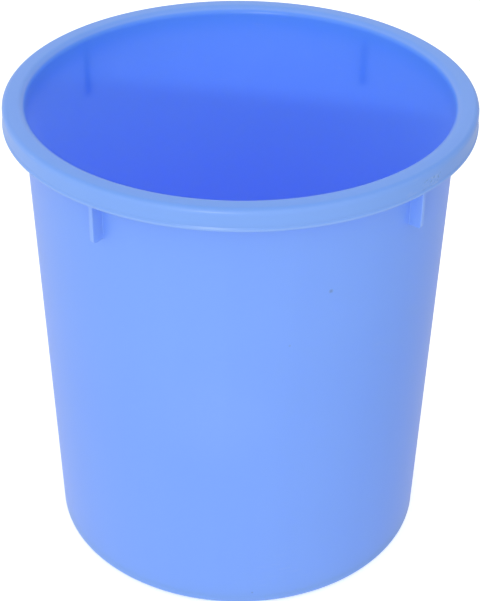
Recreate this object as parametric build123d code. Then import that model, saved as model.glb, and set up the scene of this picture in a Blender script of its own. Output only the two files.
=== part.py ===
from build123d import *
import os

# Round office wastebasket: one thin moulded shell with a wall that widens upwards, a rolled
# rim with a hanging skirt, and four nesting ribs under the rim. The origin is the middle of
# the standing ring, +Z runs up through the mouth and -Y is the front. Millimetres, degrees.

# ---- Driving dimensions: the whole basket ----
HEIGHT = 330.0            # floor to the top of the rim
RIM_DIAMETER = 311.0      # over the bead at the skirt's lower edge, the widest place
BASE_DIAMETER = 262.6     # outside of the wall, where it would meet the floor
WALL = 2.0                # side wall, rim and skirt

# ---- Driving dimensions: the rolled rim ----
RIM_OVERHANG = 13.9       # outside of the wall to the outside of the bead
SKIRT_DEPTH = 14.6        # top of the rim to the skirt's lower edge
MOUTH_RADIUS = 5.5        # the roll from the inside of the wall on to the top
SHOULDER_RADIUS = 3.6     # the roll from the top down to the skirt
STRAIGHT = 2.0            # straight wall and skirt that belong to the rolled crown
BEAD_PROJECTION = 0.5     # how far the bead stands out of the skirt
BEAD_EDGE = 1.4           # height of the bead's upright edge
BEAD_FADE = 1.2           # height over which the bead slopes back into the skirt
BEAD_ROUND = 0.7

# ---- Driving dimensions: the bottom ----
PANEL_THICKNESS = 2.4
PANEL_RISE = 2.0          # the middle of the panel stands this much higher
PANEL_STEP_DIAMETER = 190.0
PANEL_STEP_RUN = 8.0      # sloping width between the low and the high part of the panel
CORNER_RADIUS = 3.0       # outside of the bend from the wall to the bottom
CORNER_REACH = 6.0        # wall height and panel width that belong to the corner
FOOT_HEIGHT = 1.2
FOOT_WIDTH = 3.0
FOOT_INSET = 7.5          # outside of the wall to the outside of the standing ring
FOOT_ROUND = 0.4
GATE_DIAMETER = 7.0       # the low round mark where the plastic entered the mould
GATE_HEIGHT = 0.7

# ---- Driving dimensions: the nesting ribs ----
RIB_THICKNESS = 2.8
RIB_DROP = 29.5           # how far a rib reaches below the skirt
RIB_GAP = 3.0             # between a rib's outer edge and the inside of the skirt
RIB_CORNER = 3.0          # round at the lower outer corner
RIB_AXIS_TURN = 6.0       # the ribs' line of symmetry, turned from the front to the right
FRONT_RIB_SPREAD = 42.5   # each front rib, turned from that line
REAR_RIB_SPREAD = 45.3    # each rear rib, turned from the far end of that line

# ---- Worked out from the driving dimensions ----
rim_radius = RIM_DIAMETER / 2
skirt_radius = rim_radius - BEAD_PROJECTION
skirt_inside = skirt_radius - WALL
skirt_bottom = HEIGHT - SKIRT_DEPTH
bead_edge_top = skirt_bottom + BEAD_EDGE
bead_top = bead_edge_top + BEAD_FADE
crown_underside = HEIGHT - WALL
crown_wall_end = HEIGHT - MOUTH_RADIUS - STRAIGHT
crown_skirt_end = HEIGHT - SHOULDER_RADIUS - STRAIGHT
neck_radius = rim_radius - RIM_OVERHANG
base_radius = BASE_DIAMETER / 2
draft = (neck_radius - base_radius) / skirt_bottom

panel_top = FOOT_HEIGHT + PANEL_THICKNESS
corner_top = FOOT_HEIGHT + CORNER_REACH
foot_radius = base_radius - FOOT_INSET
rib_radius = skirt_inside - RIB_GAP
rib_bottom = skirt_bottom - RIB_DROP
rib_turns = {
    "front_left": RIB_AXIS_TURN - FRONT_RIB_SPREAD,
    "front_right": RIB_AXIS_TURN + FRONT_RIB_SPREAD,
    "rear_right": RIB_AXIS_TURN + 180 - REAR_RIB_SPREAD,
    "rear_left": RIB_AXIS_TURN + 180 + REAR_RIB_SPREAD,
}


def outside(z):
    """Radius of the outside of the wall at height z."""
    return base_radius + draft * z


def inside(z):
    """Radius of the inside of the wall at height z."""
    return outside(z) - WALL


def section(*corners):
    """A flat face of (radius, height) corners; a third value rounds that corner."""
    face = make_face(Plane.XZ * Polyline(*[corner[:2] for corner in corners], close=True))
    for corner in corners:
        if len(corner) == 3:
            place = Vector(corner[0], 0, corner[1])
            face = fillet(face.vertices().sort_by_distance(place)[0], corner[2])
    return face


def ring(*corners):
    """A section turned once about the basket's axis."""
    return revolve(section(*corners), Axis.Z)


corner_edge = base_radius - CORNER_REACH


def make_side_wall():
    """The tapered wall between the bottom corner and the rolled crown."""
    return ring(
        (inside(corner_top), corner_top),
        (outside(corner_top), corner_top),
        (outside(crown_wall_end), crown_wall_end),
        (inside(crown_wall_end), crown_wall_end),
    )


def make_base_corner():
    """The bend that joins the wall to the bottom panel."""
    return ring(
        (corner_edge, FOOT_HEIGHT),
        (outside(FOOT_HEIGHT), FOOT_HEIGHT, CORNER_RADIUS),
        (outside(corner_top), corner_top),
        (inside(corner_top), corner_top),
        (inside(panel_top), panel_top, CORNER_RADIUS - WALL),
        (corner_edge, panel_top),
    )


def make_base_panel():
    """The bottom panel, raised in the middle, with the gate mark under its centre."""
    step_outer = PANEL_STEP_DIAMETER / 2
    step_inner = step_outer - PANEL_STEP_RUN
    panel = ring(
        (0, FOOT_HEIGHT + PANEL_RISE),
        (step_inner, FOOT_HEIGHT + PANEL_RISE),
        (step_outer, FOOT_HEIGHT),
        (corner_edge, FOOT_HEIGHT),
        (corner_edge, panel_top),
        (step_outer, panel_top),
        (step_inner, panel_top + PANEL_RISE),
        (0, panel_top + PANEL_RISE),
    )
    gate = Pos(0, 0, FOOT_HEIGHT + PANEL_RISE) * Cylinder(
        GATE_DIAMETER / 2, GATE_HEIGHT, align=(Align.CENTER, Align.CENTER, Align.MAX)
    )
    return panel + gate


def make_foot_ring():
    """The low ring that the basket stands on."""
    return ring(
        (foot_radius - FOOT_WIDTH, 0, FOOT_ROUND),
        (foot_radius, 0, FOOT_ROUND),
        (foot_radius, FOOT_HEIGHT),
        (foot_radius - FOOT_WIDTH, FOOT_HEIGHT),
    )


def make_rim_crown():
    """The rolled top of the rim, from the straight wall over to the skirt."""
    return ring(
        (inside(crown_wall_end), crown_wall_end),
        (inside(HEIGHT), HEIGHT, MOUTH_RADIUS),
        (skirt_radius, HEIGHT, SHOULDER_RADIUS),
        (skirt_radius, crown_skirt_end),
        (skirt_inside, crown_skirt_end),
        (skirt_inside, crown_underside, SHOULDER_RADIUS - WALL),
        (outside(crown_underside), crown_underside, MOUTH_RADIUS - WALL),
        (outside(crown_wall_end), crown_wall_end),
    )


def make_rim_skirt():
    """The band that hangs from the crown."""
    return ring(
        (skirt_inside, bead_top),
        (skirt_radius, bead_top),
        (skirt_radius, crown_skirt_end),
        (skirt_inside, crown_skirt_end),
    )


def make_skirt_bead():
    """The rounded bead at the skirt's lower edge, which slopes back into the skirt."""
    return ring(
        (skirt_inside, skirt_bottom),
        (rim_radius, skirt_bottom, BEAD_ROUND),
        (rim_radius, bead_edge_top, BEAD_ROUND),
        (skirt_radius, bead_top),
        (skirt_inside, bead_top),
    )


def make_nesting_rib(turn):
    """One upright fin from the wall and the crown's underside, turned from the front."""
    root = outside(rib_bottom) - WALL / 2
    blank = extrude(
        section(
            (root, rib_bottom),
            (rib_radius, rib_bottom, RIB_CORNER),
            (rib_radius, HEIGHT),
            (root, HEIGHT),
        ),
        RIB_THICKNESS / 2,
        both=True,
    )
    channel = ring(
        (outside(rib_bottom), rib_bottom),
        (skirt_inside, rib_bottom),
        (skirt_inside, crown_underside),
        (outside(crown_underside), crown_underside, MOUTH_RADIUS - WALL),
    )
    return Rot(0, 0, turn - 90) * (blank & channel)


nodes = {
    "foot_ring": make_foot_ring(),
    "base_panel": make_base_panel(),
    "base_corner": make_base_corner(),
    "side_wall": make_side_wall(),
    "rim_crown": make_rim_crown(),
    "rim_skirt": make_rim_skirt(),
    "skirt_bead": make_skirt_bead(),
}
for place, turn in rib_turns.items():
    nodes[f"nesting_rib_{place}"] = make_nesting_rib(turn)

os.makedirs("parts", exist_ok=True)
for name, solid in nodes.items():
    solid.label = name
    export_step(solid, f"parts/{name}.step")
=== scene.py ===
from math import atan2, cos, pi, radians, sin

import bmesh
import bpy
from mathutils import Matrix, Vector


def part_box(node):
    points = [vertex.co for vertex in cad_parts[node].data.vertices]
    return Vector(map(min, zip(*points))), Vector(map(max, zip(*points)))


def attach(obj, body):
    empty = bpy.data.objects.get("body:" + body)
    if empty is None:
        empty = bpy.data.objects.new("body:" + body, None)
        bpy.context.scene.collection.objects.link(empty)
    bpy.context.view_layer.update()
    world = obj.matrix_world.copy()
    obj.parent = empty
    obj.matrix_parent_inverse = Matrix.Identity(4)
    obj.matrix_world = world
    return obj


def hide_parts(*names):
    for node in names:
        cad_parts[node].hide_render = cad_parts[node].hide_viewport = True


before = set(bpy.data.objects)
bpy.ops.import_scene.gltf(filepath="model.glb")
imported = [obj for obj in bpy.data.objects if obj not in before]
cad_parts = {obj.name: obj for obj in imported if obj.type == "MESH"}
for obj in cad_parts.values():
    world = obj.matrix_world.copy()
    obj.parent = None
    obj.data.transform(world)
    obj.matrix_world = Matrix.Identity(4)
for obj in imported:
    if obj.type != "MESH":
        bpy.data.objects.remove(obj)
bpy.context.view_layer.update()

# ---- Side wall ----
# The long tapered wall is the main flow of the moulding: polypropylene coloured light blue all
# through, 2 mm thick, drawn off a polished core. It is made here as its section, spun once.
corner_low, corner_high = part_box("base_corner")
wall_low, wall_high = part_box("side_wall")
wall_thickness = 0.002
draft = (wall_high.x - corner_high.x) / (wall_high.z - corner_high.z)
turn_steps = 288
sharp_angle = radians(32)   # edges that turn by more than this stay crisp


def outside(height):
    """Radius of the wall's outer face at a height."""
    return corner_high.x + draft * (height - corner_high.z)


def inside(height):
    """Radius of the wall's inner face at a height."""
    return outside(height) - wall_thickness


def spun_section(name, corners, closed=True):
    """A moulded ring: an outline of (radius, height, rounding) corners, spun about the axis.

    An outline that isn't closed leaves out its edges on the axis, as a disc's does.
    """
    mesh = bmesh.new()
    points = [mesh.verts.new((radius, 0, height)) for radius, height, _ in corners]
    mesh.faces.new(points)
    for point, (_, _, rounding) in zip(points, corners):
        if rounding:
            bmesh.ops.bevel(
                mesh, geom=[point], offset=rounding, affect="VERTICES",
                segments=10, profile=0.5, material=-1,
            )
    bmesh.ops.delete(mesh, geom=mesh.faces[:], context="FACES_ONLY")
    if not closed:
        on_axis = [e for e in mesh.edges if all(v.co.x < 1e-6 for v in e.verts)]
        bmesh.ops.delete(mesh, geom=on_axis, context="EDGES")
    bmesh.ops.spin(
        mesh, geom=mesh.verts[:] + mesh.edges[:], cent=(0, 0, 0), axis=(0, 0, 1),
        angle=2 * pi, steps=turn_steps, use_merge=True,
    )
    bmesh.ops.remove_doubles(mesh, verts=mesh.verts[:], dist=1e-7)
    bmesh.ops.dissolve_degenerate(mesh, edges=mesh.edges[:], dist=1e-7)
    return finished_piece(name, mesh)


def finished_piece(name, mesh):
    """Turns a bmesh into a smooth-shaded object that rides on the basket's one body."""
    bmesh.ops.recalc_face_normals(mesh, faces=mesh.faces[:])
    for face in mesh.faces:
        face.smooth = True
    data = bpy.data.meshes.new(name)
    mesh.to_mesh(data)
    mesh.free()
    data.set_sharp_from_angle(angle=sharp_angle)
    piece = bpy.data.objects.new(name, data)
    bpy.context.scene.collection.objects.link(piece)
    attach(piece, "root")
    return piece


class Wire:
    """A shader socket: arithmetic on it adds Math nodes, and node() adds any other node."""

    def __init__(self, tree, socket=None):
        self.tree = tree
        self.socket = socket

    def node(self, kind, settings=None, inputs=None, output=0):
        """Adds a node with its settings, then its inputs, and gives one of its outputs."""
        made = self.tree.nodes.new("ShaderNode" + kind)
        for key, value in (settings or {}).items():
            setattr(made, key, value)
        for key, value in (inputs or {}).items():
            socket = next(s for s in made.inputs if s.identifier == key)
            if isinstance(value, Wire):
                self.tree.links.new(value.socket, socket)
            else:
                socket.default_value = value
        return Wire(self.tree, made.outputs[output]) if made.outputs else None

    def math(self, operation, first, second=0.0):
        return self.node(
            "Math", {"operation": operation}, {"Value": first, "Value_001": second}
        )

    def __add__(self, other):
        return self.math("ADD", self, other)

    def __radd__(self, other):
        return self.math("ADD", other, self)

    def __sub__(self, other):
        return self.math("SUBTRACT", self, other)

    def __rsub__(self, other):
        return self.math("SUBTRACT", other, self)

    def __mul__(self, other):
        return self.math("MULTIPLY", self, other)

    def __rmul__(self, other):
        return self.math("MULTIPLY", other, self)

    def between(self, low, high):
        """0 below low, 1 above high, and a smooth step from one to the other."""
        return self.node(
            "MapRange", {"interpolation_type": "SMOOTHSTEP"},
            {"Value": self, "From Min": low, "From Max": high},
        )

    def noise(self, place, scale, detail=2.0, roughness=0.5):
        """Soft random blobs, about 0.3 to 0.7."""
        return self.node("TexNoise", {}, {
            "Vector": place, "Scale": scale, "Detail": detail, "Roughness": roughness,
        })

    def scaled(self, place, factors):
        """A place with each coordinate multiplied by its factor."""
        return self.node(
            "VectorMath", {"operation": "MULTIPLY"}, {"Vector": place, "Vector_001": factors}
        )

    def apart(self, place, letter):
        """One coordinate of a place."""
        return self.node("SeparateXYZ", {}, {"Vector": place}, output=letter)

    def from_axis(self, place):
        """Distance from the basket's upright axis."""
        return self.node(
            "VectorMath", {"operation": "LENGTH"}, {"Vector": self.scaled(place, (1, 1, 0))},
            output="Value",
        )

    def reach(self, place, middle, radius, softness):
        """1 within a radius of a point, fading to 0 over a soft edge."""
        gap = self.node(
            "VectorMath", {"operation": "DISTANCE"}, {"Vector": place, "Vector_001": middle},
            output="Value",
        )
        return 1 - gap.between(radius - softness, radius + softness)

    def mixed(self, amount, first, second):
        """One colour turning into another as the amount goes from 0 to 1."""
        return self.node(
            "Mix", {"data_type": "RGBA"},
            {"Factor_Float": amount, "A_Color": first, "B_Color": second}, output="Result",
        )


inner_blues = (0.113, 0.350, 0.995, 1), (0.127, 0.370, 1.0, 1)      # inner faces, without the painted sheen
outer_sheen_blues = (0.208, 0.412, 0.955, 1), (0.228, 0.442, 0.980, 1)   # outer faces: paler, a painted sheen
scuffed_pale = (0.42, 0.56, 0.93, 1)
highlight_and_edge_pale = (0.335, 0.54, 1.0, 1)
light_passed = (0.8, 0.9, 1.0, 1)
see_through = 0.23        # share of the light that a face lets into or out of the wall
rim_loss = 0.10           # how much less of it passes in the thicker, doubled rim
rim_loss_reach = 0.014    # how far below the crown that begins
satin = 0.34              # roughness of the plain surface
grain_depth = 0.00004
ripple_depth = 0.0006


def moulded_plastic(name, marks_and_painted_light=None, scuffing=0.5):
    """Satin blue polypropylene: cloudy, with faint flow lines, fine grain and light scuffs.

    The side that faces outwards is painted a little paler than the inside: a painted sheen, the
    whiter reflection the outer faces show.
    """
    material = bpy.data.materials.new(name)
    material.use_nodes = True
    tree = material.node_tree
    tree.nodes.clear()
    start = Wire(tree)
    place = start.node("TexCoord", output="Object")

    cloud = start.noise(place, 9.0, detail=3.0)
    flow = start.noise(start.scaled(place, (70.0, 70.0, 2.5)), 1.0, detail=2.0)
    grain = start.noise(place, 1400.0, detail=3.0, roughness=0.6)
    ripple = start.noise(place, 26.0, detail=1.0)
    hairline = start.noise(start.scaled(place, (90.0, 90.0, 900.0)), 1.0, detail=1.0)
    patch = start.noise(place, 22.0, detail=2.0).between(0.56, 0.72)
    scuff = hairline.between(0.62, 0.72) * patch * scuffing

    tone = (cloud - 0.5) * 0.9 + (flow - 0.5) * 0.5 + 0.5
    inner_colour = start.mixed(tone, *inner_blues)
    outer_sheen_colour = start.mixed(tone, *outer_sheen_blues)
    # Outer faces get the paler copy of the colour, a painted sheen; inner faces keep the deeper
    # blue.
    wall_middle = outside(0) - wall_thickness / 2 + draft * start.apart(place, "Z")
    past_middle = start.from_axis(place) - wall_middle
    outer_sheen_side = past_middle.between(-wall_thickness / 4, wall_thickness / 4)
    colour = start.mixed(outer_sheen_side, inner_colour, outer_sheen_colour)
    colour = start.mixed(scuff * 0.35, colour, scuffed_pale)
    if marks_and_painted_light:
        colour = marks_and_painted_light(start, place, colour)
    roughness = satin + (cloud - 0.5) * 0.10 + scuff * 0.16
    relief = start.node(
        "Bump", {}, {"Strength": 0.35, "Distance": grain_depth, "Height": grain}, output="Normal"
    )
    relief = start.node(
        "Bump", {},
        {"Strength": 0.25, "Distance": ripple_depth, "Height": ripple, "Normal": relief},
        output="Normal",
    )
    surface = start.node(
        "BsdfPrincipled", {},
        {
            "Base Color": colour, "Roughness": roughness, "Normal": relief, "IOR": 1.49,
            "Specular IOR Level": 0.5, "Sheen Weight": 0.08, "Sheen Roughness": 0.35,
        },
    )
    glow_through = start.node("BsdfTranslucent", {}, {"Color": light_passed})
    thicker = start.apart(place, "Z").between(wall_high.z - rim_loss_reach, wall_high.z)
    surface = start.node(
        "MixShader", {},
        {
            "Fac": see_through - thicker * rim_loss, "Shader": surface,
            "Shader_001": glow_through,
        },
    )
    start.node("OutputMaterial", {}, {"Surface": surface})
    return material


def on_wall(turn, height):
    """A point on the wall's outer face, turned from the front, in degrees and metres."""
    out = outside(height)
    return (out * sin(radians(turn)), -out * cos(radians(turn)), height)


dirt = (0.16, 0.26, 0.36, 1)
dark_dirt = (0.10, 0.16, 0.36, 1)
wall_spots = [            # turn, height, radius, softness, strength, colour
    # the first row is a soft pale patch low on the front: a painted highlight
    (-7, 0.165, 0.03, 0.025, 0.10, highlight_and_edge_pale),
    (23.7, 0.258, 0.0011, 0.0009, 0.75, dirt),
    (13.2, 0.222, 0.0006, 0.0005, 0.40, dirt),
    (4.6, 0.0115, 0.0006, 0.0005, 0.60, dark_dirt),
]


def wall_highlight_and_dirt(start, place, colour):
    """A soft pale patch, which is a painted highlight, and three specks of dirt, as an office
    basket gathers them.
    """
    for turn, height, radius, softness, strength, shade in wall_spots:
        spot = start.reach(place, on_wall(turn, height), radius, softness)
        colour = start.mixed(spot * strength, colour, shade)
    return colour


side_wall = spun_section("moulded_side_wall", [
    (inside(wall_low.z), wall_low.z, 0),
    (outside(wall_low.z), wall_low.z, 0),
    (outside(wall_high.z), wall_high.z, 0),
    (inside(wall_high.z), wall_high.z, 0),
])
side_wall.data.materials.append(moulded_plastic("side_wall_plastic", wall_highlight_and_dirt))
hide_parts("side_wall")

# ---- Rolled rim crown ----
# The top of the moulding: the wall rolls outwards over a wide radius, runs flat for a few
# millimetres and turns down over a tighter radius. It stiffens the thin polypropylene wall.
crown_low, crown_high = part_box("rim_crown")
skirt_low, skirt_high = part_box("rim_skirt")
mouth_radius = 0.0055
shoulder_radius = 0.0036
crown_underside = crown_high.z - wall_thickness
skirt_radius = crown_high.x
skirt_inside = skirt_radius - wall_thickness
# The colour of the painted shade on the crown's flat top.
crown_top_shade_blue = (0.150, 0.365, 0.93, 1)
crown_top_shade_full = 0.0004    # how far below the top the painted shade is still complete
crown_top_shade_end = 0.0018     # and where it has gone


def shaded_crown_top(start, place, colour):
    """Deepens the colour of the flat top: painted shade, as the top gets less light from above
    than the wall and skirt get from the front.
    """
    height = start.apart(place, "Z") - crown_high.z
    crown_top_shade = height.between(-crown_top_shade_end, -crown_top_shade_full)
    return start.mixed(crown_top_shade * 0.6, colour, crown_top_shade_blue)


rim_crown = spun_section("moulded_rim_crown", [
    (inside(crown_low.z), crown_low.z, 0),
    (inside(crown_high.z), crown_high.z, mouth_radius),
    (skirt_radius, crown_high.z, shoulder_radius),
    (skirt_radius, skirt_high.z, 0),
    (skirt_inside, skirt_high.z, 0),
    (skirt_inside, crown_underside, shoulder_radius - wall_thickness),
    (outside(crown_underside), crown_underside, mouth_radius - wall_thickness),
    (outside(crown_low.z), crown_low.z, 0),
])
rim_crown.data.materials.append(moulded_plastic("rim_crown_plastic", shaded_crown_top, scuffing=0.8))
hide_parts("rim_crown")

# ---- Skirt ----
# The band of the same moulding that hangs from the crown, clear of the wall, so that fingers
# can hook under it. It is 2 mm thick and has no draft of its own.
knock_turn = radians(48.5)
knock_height = skirt_low.z + 0.002
knock_radius = 0.008
knock_softness = 0.006
knock_pale = (0.42, 0.58, 0.93, 1)
knock_dark = (0.12, 0.24, 0.5, 1)


def knocked_spot(start, place, colour):
    """A small scuff, pale with a few darker grains, where the right of the rim was knocked."""
    middle = (
        skirt_radius * sin(knock_turn), -skirt_radius * cos(knock_turn), knock_height,
    )
    knocked = start.reach(place, middle, knock_radius, knock_softness)
    grains = start.noise(place, 520.0, detail=2.0)
    pale = knocked * grains.between(0.52, 0.62) * 0.5
    colour = start.mixed(pale, colour, knock_pale)
    dark = knocked * (1 - grains.between(0.36, 0.42)) * 0.6
    return start.mixed(dark, colour, knock_dark)


rim_skirt = spun_section("moulded_rim_skirt", [
    (skirt_inside, skirt_low.z, 0),
    (skirt_radius, skirt_low.z, 0),
    (skirt_radius, skirt_high.z, 0),
    (skirt_inside, skirt_high.z, 0),
])
rim_skirt.data.materials.append(moulded_plastic("rim_skirt_plastic", knocked_spot, scuffing=0.8))
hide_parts("rim_skirt")

# ---- Bead ----
# The thickened lower edge of the skirt, rounded in the mould and sloped back into the band
# above. Its lower edge is painted paler than the rest.
bead_low, bead_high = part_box("skirt_bead")
bead_edge = 0.0014
bead_round = 0.0007
bead_upper_round = 0.00014
bead_inner_round = 0.0004
bead_pale_top = 0.0019    # how far up the paler edge reaches
bead_pale_fade = 0.0006


def pale_bead_edge(start, place, colour):
    """Pales the colour along the bead's lower edge."""
    height = start.apart(place, "Z") - bead_low.z
    pale = 1 - height.between(bead_pale_top - bead_pale_fade, bead_pale_top)
    return start.mixed(pale * 0.45, colour, highlight_and_edge_pale)


bead = spun_section("moulded_skirt_bead", [
    (skirt_inside, bead_low.z, bead_inner_round),
    (bead_high.x, bead_low.z, bead_round),
    (bead_high.x, bead_low.z + bead_edge, bead_upper_round),
    (skirt_radius, bead_high.z, 0),
    (skirt_inside, bead_high.z, 0),
])
bead.data.materials.append(moulded_plastic("skirt_bead_plastic", pale_bead_edge, scuffing=0.8))
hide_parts("skirt_bead")

# ---- Base corner ----
# The bend that joins the wall to the bottom, rounded outside and inside so that the melt
# flows round it and nothing catches in it. Same plastic, 2 mm thickening to 2.4 mm.
panel_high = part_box("base_panel")[1]
foot_low, foot_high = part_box("foot_ring")
corner_radius = 0.003
panel_thickness = 0.0024
panel_edge = panel_high.x
panel_top = corner_low.z + panel_thickness
base_corner = spun_section("moulded_base_corner", [
    (panel_edge, corner_low.z, 0),
    (outside(corner_low.z), corner_low.z, corner_radius),
    (outside(corner_high.z), corner_high.z, 0),
    (inside(corner_high.z), corner_high.z, 0),
    (inside(panel_top), panel_top, corner_radius - wall_thickness),
    (panel_edge, panel_top, 0),
])
base_corner.data.materials.append(moulded_plastic("base_corner_plastic"))
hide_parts("base_corner")

# ---- Base panel ----
# The bottom: a 2.4 mm disc whose middle stands 2 mm higher, so that only the ring near the
# edge touches the ground. A low round mark under the centre is where the melt entered.
panel_rise = panel_high.z - panel_top
step_outer = 0.095
step_inner = step_outer - 0.008
step_round = 0.002
gate_radius = 0.0035
gate_round = 0.0003
gate_low = corner_low.z + panel_rise - 0.0007
base_panel = spun_section("moulded_base_panel", [
    (0, gate_low, 0),
    (gate_radius, gate_low, gate_round),
    (gate_radius, corner_low.z + panel_rise, 0),
    (step_inner, corner_low.z + panel_rise, step_round),
    (step_outer, corner_low.z, step_round),
    (panel_edge, corner_low.z, 0),
    (panel_edge, panel_top, 0),
    (step_outer, panel_top, step_round),
    (step_inner, panel_high.z, step_round),
    (0, panel_high.z, 0),
], closed=False)
base_panel.data.materials.append(moulded_plastic("base_panel_plastic"))
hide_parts("base_panel")

# ---- Foot ring ----
# A low ring moulded under the bottom, near its edge: the only part that meets the floor. Its
# edges are just broken, and sliding about has scuffed its lower face pale.
foot_width = 0.003
foot_round = 0.0004
foot_scuff_low = 0.0001   # the scuffs are complete up to here
foot_scuff_top = 0.0005   # and gone above here


def floor_scuffs(start, place, colour):
    """Pales the face that slides on the floor, in short streaks."""
    height = start.apart(place, "Z") - foot_low.z
    underneath = 1 - height.between(foot_scuff_low, foot_scuff_top)
    streaks = start.noise(start.scaled(place, (900.0, 160.0, 1.0)), 1.0, detail=2.0)
    return start.mixed(underneath * streaks.between(0.35, 0.65) * 0.7, colour, scuffed_pale)


foot_ring = spun_section("moulded_foot_ring", [
    (foot_high.x - foot_width, foot_low.z, foot_round),
    (foot_high.x, foot_low.z, foot_round),
    (foot_high.x, foot_high.z, 0),
    (foot_high.x - foot_width, foot_high.z, 0),
])
foot_ring.data.materials.append(moulded_plastic("foot_ring_plastic", floor_scuffs, scuffing=1.0))
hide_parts("foot_ring")

# ---- Nesting ribs ----
# Four upright fins under the rim keep stacked baskets from jamming. They are moulded with the
# wall, 2.8 mm thick, with broken edges and hardly any fillet. Their outer edges are painted
# paler.
rib_thickness = 0.0028
rib_gap = 0.003
rib_corner = 0.003
rib_edge_round = 0.0006
rib_fillet = 0.0006
rib_bite = 0.0008         # how deep a rib is sunk into the wall and the crown
rib_pale_reach = 0.0009          # how far the pale edge reaches in
toe_round = 0.98 * rib_fillet                    # just under the fillet, so no points coincide
top_cut_tilts = (10, 30, 50, 70, 85)             # cuts that follow the crown's inner bend
fillet_cut_shares = (0.0, 0.12, 0.3, 0.55, 0.8, 1.0)


def pale_rib_edge(start, place, colour):
    """Pales the colour along a rib's outer edge."""
    edge = skirt_inside - rib_gap
    pale = start.from_axis(place).between(edge - rib_pale_reach, edge - rib_pale_reach / 3)
    return start.mixed(pale * 0.5, colour, highlight_and_edge_pale)


rib_plastic = moulded_plastic("nesting_rib_plastic", pale_rib_edge, scuffing=0.3)


def nesting_rib(name, root, reach, height, base):
    """A fin from a root radius outwards by reach, as tall as height, put in place by base."""
    mesh = bmesh.new()
    side = [
        (-rib_bite, -rib_fillet, 0),
        (0, -rib_fillet, 0),
        (0, 0, toe_round),
        (reach, 0, rib_corner),
        (reach, height + rib_bite, 0),
        (draft * height - rib_bite, height + rib_bite, 0),
    ]
    points = [mesh.verts.new((x, -rib_thickness / 2, z)) for x, z, _ in side]
    mesh.faces.new(points)
    for point, (_, _, rounding) in zip(points, side):
        if rounding:
            bmesh.ops.bevel(
                mesh, geom=[point], offset=rounding, affect="VERTICES",
                segments=8, profile=0.5, material=-1,
            )
    grown = bmesh.ops.extrude_face_region(mesh, geom=mesh.faces[:])
    far_side = [v for v in grown["geom"] if isinstance(v, bmesh.types.BMVert)]
    bmesh.ops.translate(mesh, verts=far_side, vec=(0, rib_thickness, 0))
    bmesh.ops.recalc_face_normals(mesh, faces=mesh.faces[:])
    rim_edges = [
        e for e in mesh.edges
        if abs(e.verts[0].co.y - e.verts[1].co.y) < 1e-9
        and min(v.co.x for v in e.verts) > -1e-6
        and max(v.co.z for v in e.verts) <= height + rib_bite + 1e-9
        and not all(v.co.z > height for v in e.verts)
    ]
    bmesh.ops.bevel(
        mesh, geom=rim_edges, offset=rib_edge_round, affect="EDGES", clamp_overlap=True,
        segments=3, profile=0.5, material=-1,
    )

    bend = mouth_radius - wall_thickness
    bend_x = draft * height + bend
    bend_z = height - bend
    for tilt in top_cut_tilts:
        away = Vector((-cos(radians(tilt)), 0, sin(radians(tilt))))
        cut = bmesh.ops.bisect_plane(
            mesh, geom=mesh.verts[:] + mesh.edges[:] + mesh.faces[:], clear_outer=True,
            plane_co=Vector((bend_x, 0, bend_z)) + away * (bend + rib_bite), plane_no=away,
        )
        loop = [g for g in cut["geom_cut"] if isinstance(g, bmesh.types.BMEdge)]
        bmesh.ops.holes_fill(mesh, edges=loop)

    lean = Vector((1, 0, -draft)).normalized()
    for share in fillet_cut_shares:
        bmesh.ops.bisect_plane(
            mesh, geom=mesh.verts[:] + mesh.edges[:] + mesh.faces[:],
            plane_co=(rib_fillet * share, 0, 0), plane_no=lean,
        )
    for vert in mesh.verts:
        depth = max(0.0, vert.co.x - draft * vert.co.z)
        if depth < rib_fillet:
            rest = rib_fillet - depth
            spread = rib_fillet - (rib_fillet ** 2 - rest ** 2) ** 0.5
            vert.co.y += spread if vert.co.y > 0 else -spread
    bmesh.ops.transform(mesh, verts=mesh.verts[:], matrix=base @ Matrix.Translation((root, 0, 0)))
    bmesh.ops.remove_doubles(mesh, verts=mesh.verts[:], dist=1e-6)
    return finished_piece(name, mesh)


for place in ("front_left", "front_right", "rear_right", "rear_left"):
    rib_low, rib_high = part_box("nesting_rib_" + place)
    middle = (rib_low + rib_high) / 2
    turn = atan2(middle.x, -middle.y)
    root = outside(rib_low.z)
    rib = nesting_rib(
        "moulded_nesting_rib_" + place, root, skirt_inside - rib_gap - root,
        rib_high.z - rib_low.z,
        Matrix.Translation((0, 0, rib_low.z)) @ Matrix.Rotation(turn - pi / 2, 4, "Z"),
    )
    rib.data.materials.append(rib_plastic)
    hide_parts("nesting_rib_" + place)

# ---- Studio ----
# A pale floor, white surroundings that are a little dimmer below and to the right, one small
# key light from the front left, and the camera. None of it belongs to the basket.
floor_half_width = 12.0
floor_mesh = bmesh.new()
bmesh.ops.create_grid(floor_mesh, x_segments=1, y_segments=1, size=floor_half_width)
floor_data = bpy.data.meshes.new("studio_floor")
floor_mesh.to_mesh(floor_data)
floor_mesh.free()
floor = bpy.data.objects.new("studio_floor", floor_data)
bpy.context.scene.collection.objects.link(floor)
floor_material = bpy.data.materials.new("studio_floor_white")
floor_material.use_nodes = True
floor_shader = floor_material.node_tree.nodes["Principled BSDF"]
floor_shader.inputs["Base Color"].default_value = (0.85, 0.85, 0.85, 1)
floor_shader.inputs["Roughness"].default_value = 0.8
floor_shader.inputs["Emission Color"].default_value = (1, 1, 1, 1)
floor_shader.inputs["Emission Strength"].default_value = 0.5
floor_data.materials.append(floor_material)
floor.visible_diffuse = False
floor.visible_glossy = False
floor.visible_shadow = False

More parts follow.
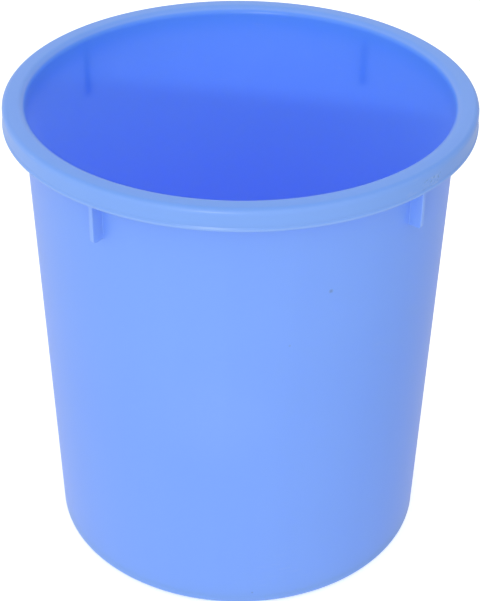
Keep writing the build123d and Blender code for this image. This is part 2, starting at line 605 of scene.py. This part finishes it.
sky_brightness = 0.94
below_brightness = 0.91
right_dimming = 0.40
dim_turn = radians(15)    # the dimmest side, turned from the right towards the back
world = bpy.data.worlds.new("studio_white")
world.use_nodes = True
world.node_tree.nodes.clear()
around = Wire(world.node_tree)
direction = around.node(
    "VectorMath", {"operation": "NORMALIZE"},
    {"Vector": around.node("TexCoord", output="Generated")}, output="Vector",
)
above = around.apart(direction, "Z").between(-0.15, 0.15)
to_the_right = around.node(
    "VectorMath", {"operation": "DOT_PRODUCT"},
    {"Vector": direction, "Vector_001": (cos(dim_turn), sin(dim_turn), 0)}, output="Value",
).between(0.3, 1.0)
brightness = (
    below_brightness + (sky_brightness - below_brightness) * above - right_dimming * to_the_right
)
glow = around.node("Background", {}, {"Color": (1, 1, 1, 1), "Strength": brightness})
around.node("OutputWorld", {}, {"Surface": glow})
bpy.context.scene.world = world

light_target = Vector((0, 0, 0.2))


def softbox(name, turn, elevation, distance, width, height, power):
    """An oblong studio light that faces the basket from a direction, turned from the front."""
    data = bpy.data.lights.new(name, "AREA")
    data.shape = "RECTANGLE"
    data.size = width
    data.size_y = height
    data.energy = power
    light = bpy.data.objects.new(name, data)
    away = Vector((
        sin(radians(turn)) * cos(radians(elevation)),
        -cos(radians(turn)) * cos(radians(elevation)),
        sin(radians(elevation)),
    ))
    light.location = light_target + away * distance
    light.rotation_mode = "QUATERNION"
    light.rotation_quaternion = away.to_track_quat("Z", "Y")
    bpy.context.scene.collection.objects.link(light)


softbox(
    "key_light", turn=-12, elevation=15.7, distance=2.6, width=0.2, height=0.14, power=12.0
)

scene = bpy.context.scene
scene.view_settings.view_transform = "Standard"
scene.cycles.max_bounces = 24
scene.cycles.diffuse_bounces = 24
camera_place = (0.0006, -0.9499, 0.7870)
camera_tilt = 33.123      # degrees below level
camera_roll = 0.43
lens_data = bpy.data.cameras.new("camera")
lens_data.lens = 95.97
lens_data.sensor_width = 36.0
camera = bpy.data.objects.new("camera", lens_data)
camera.matrix_world = (
    Matrix.Translation(camera_place)
    @ Matrix.Rotation(radians(90 - camera_tilt), 4, "X")
    @ Matrix.Rotation(radians(camera_roll), 4, "Z")
)
scene.collection.objects.link(camera)
scene.camera = camera
